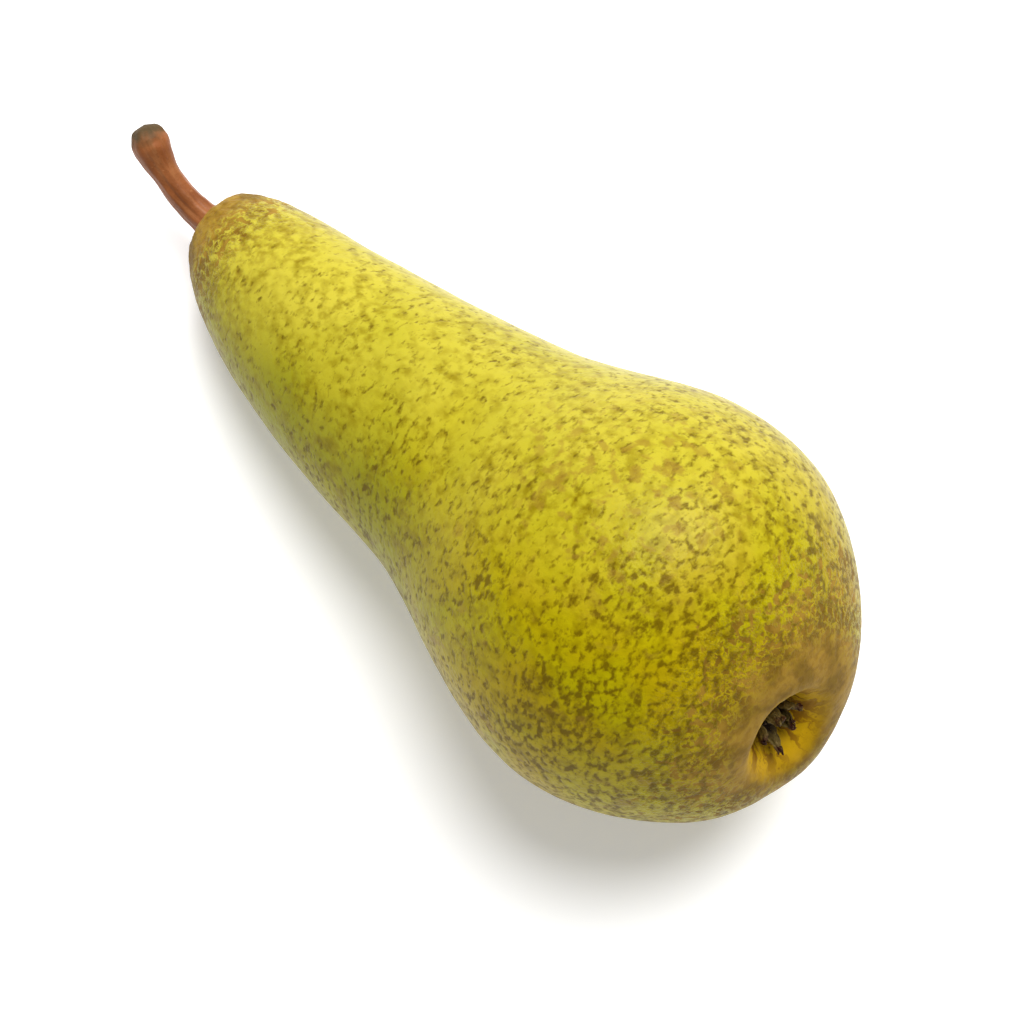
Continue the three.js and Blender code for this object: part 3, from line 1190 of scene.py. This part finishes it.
    def laid(self, graph: Graph, given: Any) -> bpy.types.NodeSocket:
        """Adds nodes that sway the fruit, lean its calyx end, lay it down and press it flat.

        Args:
            graph: The tree's graph.
            given: The sockets of the tree's inputs.

        Returns:
            Each point's place in the row frame, in metres.
        """
        x, y, z = graph.split(graph.add("GeometryNodeInputPosition").outputs[0])
        share = graph.math("DIVIDE", x, given["Length"], clamp=True)
        swayed = y
        for count, label in enumerate(("Sway One", "Sway Two", "Sway Three"), start=1):
            wave = graph.math("SINE", graph.times(share, count * math.pi))
            swayed = graph.math("SUBTRACT", swayed, graph.times(wave, given[label]))
        run = graph.math("SUBTRACT", given["Length"], given["Slant From"])
        steep = graph.math("MAXIMUM", graph.math("SUBTRACT", x, given["Slant From"]), 0.0)
        steep = graph.math("POWER", graph.math("DIVIDE", steep, run), 2.0)
        held = graph.math("MINIMUM", graph.math("ABSOLUTE", z), given["Bow Reach"])
        lean = graph.times(z, graph.line(held, given["Bow"], given["Slant"]))
        grown = graph.joined(graph.math("SUBTRACT", x, graph.times(lean, steep)), swayed, z)
        turn = {"Vector": grown, "Axis": (0.0, 1.0, 0.0), "Angle": graph.times(given["Pitch"], -1.0)}
        down = graph.add("ShaderNodeVectorRotate", turn, rotation_type="AXIS_ANGLE").outputs[0]
        row = graph.scaled(graph.vector("ADD", down, given["Place"]), MM)
        row_x, row_y, row_z = graph.split(row)
        return graph.joined(row_x, row_y, graph.math("MAXIMUM", row_z, 0.0))

    def tree(self) -> bpy.types.NodeTree:
        """The Geometry Nodes tree that turns an outline into a fruit.

        Returns:
            The tree.
        """
        numbers = {name: (FLOAT, value) for name, value in self.growth().items()}
        graph, given, taken = new_group(
            "fruit_growth", "GeometryNodeTree",
            {"Outline": (GEOMETRY, None), "Rings": (INTEGER, 10), "Segments": (INTEGER, 10),
             "Place": (VECTOR, None), "Skin": (MATERIAL, None), **numbers},
            {"Fruit": GEOMETRY},
        )
        normal = graph.add("GeometryNodeInputNormal").outputs[0]
        raised = {"Geometry": self.lathed(graph, given),
                  "Offset": graph.scaled(normal, self.relief(graph, given))}
        body = graph.add("GeometryNodeSetPosition", raised)
        placed = {"Geometry": body.outputs[0], "Position": self.laid(graph, given)}
        body = graph.add("GeometryNodeSetPosition", placed)
        body = graph.add("GeometryNodeRealizeInstances", {0: body.outputs[0]})
        dressed = {"Geometry": body.outputs[0], "Material": given["Skin"]}
        body = graph.add("GeometryNodeSetMaterial", dressed)
        graph.feed(taken["Fruit"], body.outputs[0])
        return graph.tree

    def build(self, finish: bpy.types.Material) -> bpy.types.Object:
        """Grows and dresses the fruit.

        Args:
            finish: The skin.

        Returns:
            The finished piece.
        """
        points = self.outline()
        edges = [(i, i + 1) for i in range(len(points) - 1)]
        source = linked("outline", mesh_of("outline", points, edges))
        values = {
            "Rings": len(points), "Segments": self.segments, "Place": self.axes.place(),
            "Skin": finish, **self.growth(),
        }
        piece = through_nodes("fruit", source, self.tree(), values)
        outward(piece)
        hand_over(piece, Slot.SKIN, "fruit_body")
        return piece


# ---- stem --------------------------------------------------------------------


@dataclass
class Stem:
    """The bent woody stem, with lengthwise ribs, a flared foot and a swollen end."""

    axes: FruitAxes
    path: tuple[Sequence[float], ...] = (
        (1.6, 0.0, -0.2), (-3.4, -0.9, 0.1), (-8.6, -2.0, 5.4), (-16.1, 1.8, 11.4))
    radii: tuple[tuple[float, float], ...] = (
        (0.0, 4.6), (0.06, 4.1), (0.12, 3.4), (0.19, 2.85), (0.3, 2.5), (0.55, 2.25), (0.7, 2.3),
        (0.8, 2.75), (0.87, 3.1), (0.92, 2.95), (0.96, 2.45), (0.985, 1.7), (1.0, 0.0))
    segments: int = 96
    rings: int = 150
    look: float = 0.01
    knob_side: float = 0.35
    ribs: int = 7
    wart_gap: float = 1.5
    wart_radius: float = 0.1
    wart_density: float = 4e5
    wart_seed: int = 11

    def radius_at(self, share: float) -> float:
        """The smooth radius at a place along the stem.

        Args:
            share: The place, 0 to 1.

        Returns:
            The radius, in millimetres.
        """
        stops = self.radii
        index = next((i for i in range(len(stops) - 1) if share <= stops[i + 1][0]), len(stops) - 2)
        before = stops[max(index - 1, 0)]
        start, end = stops[index], stops[index + 1]
        after = stops[min(index + 2, len(stops) - 1)]
        t = (share - start[0]) / (end[0] - start[0])
        span = end[0] - start[0]
        rise_in = (end[1] - before[1]) / max(end[0] - before[0], 1e-6) * span
        rise_out = (after[1] - start[1]) / max(after[0] - start[0], 1e-6) * span
        return (
            (2 * t ** 3 - 3 * t ** 2 + 1) * start[1] + (t ** 3 - 2 * t ** 2 + t) * rise_in
            + (3 * t ** 2 - 2 * t ** 3) * end[1] + (t ** 3 - t ** 2) * rise_out
        )

    def relief(self, share: float, angle: float) -> float:
        """How far the bark stands out at a place, in millimetres.

        Args:
            share: The place along the stem, 0 to 1.
            angle: The place round it, in radians.

        Returns:
            The height.
        """
        rim = Vector((math.cos(angle), math.sin(angle), 0))
        rib = 0.11 * math.cos(self.ribs * angle + 1.5 * math.sin(4 * share) + 0.6)
        fibre = 0.09 * noise.noise(Vector((rim.x * 5, rim.y * 5, share * 2.2)))
        knot = 0.28 * noise.noise(Vector((rim.x * 1.3, rim.y * 1.3, share * 9 + 4)))
        swell = 0.35 * max(share - 0.8, 0) / 0.2 * noise.noise(Vector((rim.x * 2, rim.y * 2, share * 20)))
        return rib * (1 - 0.6 * share) + fibre + knot * 0.5 + swell

    def surface(self) -> bpy.types.Mesh:
        """The bare stem's mesh, in the row frame.

        Returns:
            The mesh.
        """
        points: list[Vector] = []
        grain: list[tuple[float, float, float]] = []
        before = bezier(self.path, 0)
        travelled = 0.0
        for ring in range(self.rings + 1):
            share = ring / self.rings
            centre = bezier(self.path, share)
            travelled += (centre - before).length
            before = centre
            behind, beyond = max(share - self.look, 0), min(share + self.look, 1)
            ahead = (bezier(self.path, beyond) - bezier(self.path, behind)).normalized()
            side = Vector((0, 0, 1)).cross(ahead).normalized()
            top = ahead.cross(side)
            radius = self.radius_at(share)
            for step in range(self.segments):
                angle = 2 * math.pi * step / self.segments
                fade = min(radius / 1.5, 1)
                reach = radius + self.relief(share, angle) * fade
                out = side * (math.cos(angle) * reach - self.knob_side * share ** 6)
                points.append(self.axes.to_row(centre + out + top * (math.sin(angle) * reach)))
                grain.append((travelled, math.cos(angle) * reach, math.sin(angle) * reach))
        faces = [
            (a * self.segments + b, a * self.segments + (b + 1) % self.segments,
             (a + 1) * self.segments + (b + 1) % self.segments, (a + 1) * self.segments + b)
            for a in range(self.rings) for b in range(self.segments)
        ]
        foot = len(points)
        points.append(self.axes.to_row(bezier(self.path, 0)))
        grain.append((0.0, 0.0, 0.0))
        faces += [(foot, (b + 1) % self.segments, b) for b in range(self.segments)]
        return mesh_of("stem", points, faces=faces, grain=grain)

    def tree(self) -> bpy.types.NodeTree:
        """The Geometry Nodes tree that scatters small corky warts over the bark.

        Returns:
            The tree.
        """
        graph, given, taken = new_group(
            "bark_warts", "GeometryNodeTree",
            {"Stem": (GEOMETRY, None), "Gap": (FLOAT, 1.0), "Density": (FLOAT, 1.0),
             "Size": (FLOAT, 0.1), "Seed": (INTEGER, 1), "Bark": (MATERIAL, None)},
            {"Stem": GEOMETRY},
        )
        points = graph.add("GeometryNodeDistributePointsOnFaces", {
            "Mesh": given["Stem"], "Distance Min": given["Gap"], "Density Max": given["Density"],
            "Seed": given["Seed"]}, distribute_method="POISSON")
        wart = graph.add("GeometryNodeMeshIcoSphere", {"Radius": given["Size"], "Subdivisions": 2})
        sizes = graph.add("FunctionNodeRandomValue", {
            0: (0.6, 0.6, 0.25), 1: (1.3, 1.9, 0.5), "Seed": given["Seed"]}, data_type="FLOAT_VECTOR")
        placed = graph.add("GeometryNodeInstanceOnPoints", {
            "Points": points.outputs["Points"], "Instance": wart.outputs[0],
            "Rotation": points.outputs["Rotation"], "Scale": sizes.outputs[0]})
        kind = "FLOAT_VECTOR"
        grained = graph.add("GeometryNodeSampleNearestSurface", {"Mesh": given["Stem"]}, data_type=kind)
        own = graph.add("GeometryNodeInputNamedAttribute", {"Name": GRAIN}, data_type=kind)
        graph.feed(grained.inputs["Value"], own.outputs[0])
        real_warts = graph.add("GeometryNodeRealizeInstances", {0: placed.outputs[0]})
        kept = graph.add("GeometryNodeStoreNamedAttribute", {
            "Geometry": real_warts.outputs[0], "Name": GRAIN, "Value": grained.outputs[0]}, data_type=kind)
        both = graph.add("GeometryNodeJoinGeometry", {0: kept.outputs[0]})
        graph.feed(both.inputs[0], given["Stem"])
        real = graph.add("GeometryNodeRealizeInstances", {0: both.outputs[0]})
        done = graph.add("GeometryNodeSetMaterial", {"Geometry": real.outputs[0], "Material": given["Bark"]})
        graph.feed(taken["Stem"], done.outputs[0])
        return graph.tree

    def build(self, finish: bpy.types.Material) -> bpy.types.Object:
        """Makes and dresses the stem.

        Args:
            finish: The bark.

        Returns:
            The finished piece.
        """
        source = linked("bare_stem", self.surface())
        outward(source)
        values = {
            "Gap": self.wart_gap * MM, "Density": self.wart_density, "Size": self.wart_radius * MM,
            "Seed": self.wart_seed, "Bark": finish,
        }
        piece = through_nodes("woody_stem", source, self.tree(), values)
        outward(piece)
        hand_over(piece, Slot.BARK, "stem")
        return piece


# ---- flower remains ----------------------------------------------------------


@dataclass
class Sepal:
    """One withered sepal: a stiff folded blade with a crumpled, half-torn tip."""

    axes: FruitAxes
    index: int
    count: int = 5
    length: float = 4.4
    width: float = 3.1
    thickness: float = 0.62
    foot: float = 2.75
    base: float = 120.9
    curl: float = 0.35
    fold: float = 0.75
    columns: int = 30
    rows: int = 46
    seed: int = 3

    def unevenness(self, shift: int = 0) -> float:
        """A repeatable difference between this sepal and the next."""
        return math.sin(2.4 * (self.index + shift) + 0.7)

    def crumple(self, across: float, share: float) -> Vector:
        """How far a point of the blade strays from its even shape.

        Args:
            across: Place across the blade, -1 to 1.
            share: Place from foot to tip, 0 to 1.

        Returns:
            The shift through, across and along the blade, in millimetres.
        """
        seat = Vector((across * 1.3, share * 2.6, self.index * 5.3))
        broad = noise.noise_vector(seat) * 0.7
        fine = noise.noise_vector(seat * 3.1) * 0.32
        finest = noise.noise_vector(seat * 8.0) * 0.07
        return (broad + fine + finest) * (0.2 + share)

    def point(self, across: float, share: float, through: float) -> Vector:
        """A point of the blade, in the row frame.

        Args:
            across: Place across the blade, -1 to 1.
            share: Place from foot to tip, 0 to 1.
            through: Place through the thickness, -1 to 1.

        Returns:
            The point, in metres.
        """
        angle = 2 * math.pi * (self.index + 0.3) / self.count
        length = self.length * (1 + 0.14 * self.unevenness())
        curl = self.curl * (1 + 0.8 * self.unevenness(3))
        radius = length / curl
        bend = curl * share
        half = self.width / 2 * (1 - share ** 2 * 0.6)
        edge = math.sqrt(max(1 - across ** 2, 0)) * 0.75 + 0.25
        stray = self.crumple(across, share)
        fold = self.fold * across ** 2 * (1 - 0.6 * share)
        through_by = self.thickness * (1 - 0.35 * share) * edge * through / 2 + stray.x - fold
        sideways = across * half + stray.y * 0.7 + 0.4 * share ** 2 * self.unevenness(1)
        outward_by = self.foot + radius * (1 - math.cos(bend)) + through_by * math.cos(bend)
        along = self.base + radius * math.sin(bend) - through_by * math.sin(bend) + stray.z * share
        grown = self.axes.grow(Vector((
            along,
            outward_by * math.cos(angle) - sideways * math.sin(angle),
            outward_by * math.sin(angle) + sideways * math.cos(angle),
        )))
        return self.axes.to_row(grown)

    def blade(self) -> bpy.types.Mesh:
        """The blade as one closed mesh.

        Returns:
            The mesh.
        """
        noise.seed_set(self.seed)
        ring = [(-1 + 2 * step / self.columns, 1.0) for step in range(self.columns + 1)]
        ring += [(across, -1.0) for across, _ in reversed(ring)]
        size = len(ring)
        points: list[Vector] = []
        grain: list[tuple[float, float, float]] = []
        for row in range(self.rows + 1):
            share = row / self.rows
            for across, through in ring:
                points.append(self.point(across, share, through))
                grain.append((share, across, self.index * 2.0))
        faces: list[tuple[int, ...]] = [
            (row * size + i, row * size + (i + 1) % size,
             (row + 1) * size + (i + 1) % size, (row + 1) * size + i)
            for row in range(self.rows) for i in range(size)
        ]
        half = size // 2
        for first in (0, self.rows * size):
            last = first + size - 1
            faces += [(first + i, first + i + 1, last - 1 - i, last - i) for i in range(half - 1)]
        return mesh_of("blade", points, faces=faces, grain=grain)

    def build(self, finish: bpy.types.Material) -> bpy.types.Object:
        """Makes and dresses the sepal.

        Args:
            finish: The withered finish.

        Returns:
            The finished piece.
        """
        piece = linked(f"withered_sepal_{self.index + 1}", self.blade())
        piece.data.materials.append(finish)
        outward(piece)
        hand_over(piece, Slot.SEPAL, f"sepal_{self.index + 1}")
        return piece


@dataclass
class Filaments:
    """The dried stamens in a ring, with the styles stuck together in the middle."""

    axes: FruitAxes
    count: int = 10
    length: float = 3.1
    ring: float = 1.2
    base: float = 119.1
    thickness: float = 0.15
    anther: float = 0.28
    styles_length: float = 3.4
    styles_foot: float = 0.42
    styles_head: float = 0.55
    sides: int = 10
    rings: int = 26
    seed: int = 5

    def strand(self, foot: Vector, tip: Vector, radius: float, head: float,
               rng: random.Random) -> bpy.types.Mesh:
        """One bent strand with a swollen head.

        Args:
            foot: Where it stands, in the fruit's axes.
            tip: Where it ends, in the fruit's axes.
            radius: Its radius.
            head: Its head's radius.
            rng: The source of its small bends.

        Returns:
            Its mesh.
        """
        sides, rings = self.sides, self.rings
        bow = Vector((0, rng.uniform(-0.3, 0.3), rng.uniform(-0.3, 0.3)))
        points: list[Vector] = []
        grain: list[tuple[float, float, float]] = []
        for ring in range(rings + 1):
            share = ring / rings
            centre = foot.lerp(tip, share) + bow * math.sin(math.pi * share)
            bulge = math.exp(-((share - 0.88) / 0.09) ** 2)
            reach = (radius + (head - radius) * bulge) * (1 if ring < rings else 0.3)
            for side in range(sides):
                angle = 2 * math.pi * side / sides
                seat = Vector((math.cos(angle) * 2, math.sin(angle) * 2, share * 14 + foot.y))
                out = Vector((0, math.cos(angle), math.sin(angle))) * reach * (1 + 0.25 * noise.noise(seat))
                points.append(self.axes.to_row(self.axes.grow(centre + out)))
                grain.append((share, math.cos(angle), foot.y))
        faces: list[tuple[int, ...]] = [
            (a * sides + b, a * sides + (b + 1) % sides,
             (a + 1) * sides + (b + 1) % sides, (a + 1) * sides + b)
            for a in range(rings) for b in range(sides)
        ]
        faces.append(tuple(range(sides)))
        faces.append(tuple(range(rings * sides, (rings + 1) * sides)))
        return mesh_of("strand", points, faces=faces, grain=grain)

    def build(self, finish: bpy.types.Material) -> list[bpy.types.Object]:
        """Makes and dresses every stamen and the styles.

        Args:
            finish: The dark withered finish.

        Returns:
            The finished pieces.
        """
        rng = random.Random(self.seed)
        centre = Vector((self.base, 0, 0))
        meshes: dict[str, bpy.types.Mesh] = {}
        for index in range(self.count):
            angle = 2 * math.pi * index / self.count
            out = Vector((0, math.cos(angle), math.sin(angle)))
            length = self.length * rng.uniform(0.85, 1.2)
            foot = centre + out * self.ring
            tip = foot + Vector((length, 0, 0)) + out * rng.uniform(0.1, 0.6)
            meshes[f"stamen_{index + 1}"] = self.strand(foot, tip, self.thickness, self.anther, rng)
        tip = centre + Vector((self.styles_length, 0, 0))
        meshes["styles"] = self.strand(centre, tip, self.styles_foot, self.styles_head, rng)
        pieces = []
        for node, mesh in meshes.items():
            piece = linked(f"dried_{node}", mesh)
            mesh.materials.append(finish)
            outward(piece)
            hand_over(piece, Slot.FILAMENT, node)
            pieces.append(piece)
        return pieces


# ---- studio ------------------------------------------------------------------


@dataclass
class Studio:
    """A plain pale floor, soft light from beyond the fruit, and the camera."""

    azimuth: float = math.radians(44.92)
    elevation: float = math.radians(77)
    distance: float = 434.2 * MM
    lens: float = 100.0
    aim: tuple[float, float, float] = (-23.36 * MM, -2.63 * MM, 20.0 * MM)
    key_elevation: float = math.radians(62)
    key_turn: float = math.radians(21)
    key_strength: float = 4.8
    key_spread: float = math.radians(46)
    sky_strength: float = 0.25
    floor_size: float = 6.0
    floor_drop: float = 0.05 * MM
    floor_white: Colour = (0.9, 0.9, 0.9)
    floor_glow: float = 0.28

    def camera(self) -> bpy.types.Object:
        """Places the camera above the fruit, looking down.

        Returns:
            The camera.
        """
        back = Vector((
            math.sin(self.azimuth) * math.cos(self.elevation),
            -math.cos(self.azimuth) * math.cos(self.elevation),
            math.sin(self.elevation),
        ))
        data = bpy.data.cameras.new("camera")
        data.lens = self.lens
        data.sensor_width = 36
        data.clip_start = 0.01
        camera = bpy.data.objects.new("camera", data)
        bpy.context.scene.collection.objects.link(camera)
        camera.location = Vector(self.aim) + back * self.distance
        camera.rotation_euler = (math.pi / 2 - self.elevation, 0, self.azimuth)
        bpy.context.scene.camera = camera
        return camera

    def floor(self) -> bpy.types.Object:
        """Lays the pale floor, which glows a little, as a light table does.

        Returns:
            The floor.
        """
        half = self.floor_size / 2
        corners = [(-half, -half), (half, -half), (half, half), (-half, half)]
        mesh = mesh_of("floor", [(x, y, -self.floor_drop) for x, y in corners], faces=[(0, 1, 2, 3)])
        floor = linked("floor", mesh)
        material, _, _ = new_material("pale_floor", {
            "Base Color": self.floor_white, "Roughness": 0.9, "Specular IOR Level": 0.1,
            "Emission Color": WHITE, "Emission Strength": self.floor_glow})
        mesh.materials.append(material)
        return floor

    def lights(self) -> None:
        """Sets the soft key light, which comes from beyond the fruit, and the white surroundings."""
        data = bpy.data.lights.new("key", "SUN")
        data.energy = self.key_strength
        data.angle = self.key_spread
        key = bpy.data.objects.new("key", data)
        bpy.context.scene.collection.objects.link(key)
        key.rotation_euler = (math.pi / 2 - self.key_elevation, 0, self.azimuth - self.key_turn + math.pi)
        world = bpy.data.worlds.new("surroundings")
        world.use_nodes = True
        background = world.node_tree.nodes["Background"]
        background.inputs["Color"].default_value = (*WHITE, 1.0)
        background.inputs["Strength"].default_value = self.sky_strength
        bpy.context.scene.world = world

    def build(self) -> None:
        """Builds the whole studio."""
        self.camera()
        self.floor()
        self.lights()
        bpy.context.scene.view_settings.view_transform = "Standard"


# ---- assembly ----------------------------------------------------------------


def main() -> None:
    """Builds every piece in order and reports each one."""
    logging.basicConfig(level=logging.INFO, format="%(name)s: %(message)s")
    axes = FruitAxes()
    finishes = Finishes.build(axes)
    Fruit(axes).build(finishes.skin)
    Stem(axes).build(finishes.bark)
    for index in range(Sepal.count):
        Sepal(axes, index).build(finishes.sepal)
    Filaments(axes).build(finishes.filament)
    Studio().build()
    LOG.info("built around %d CAD nodes", len(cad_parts))


if __name__ == "__main__":
    main()
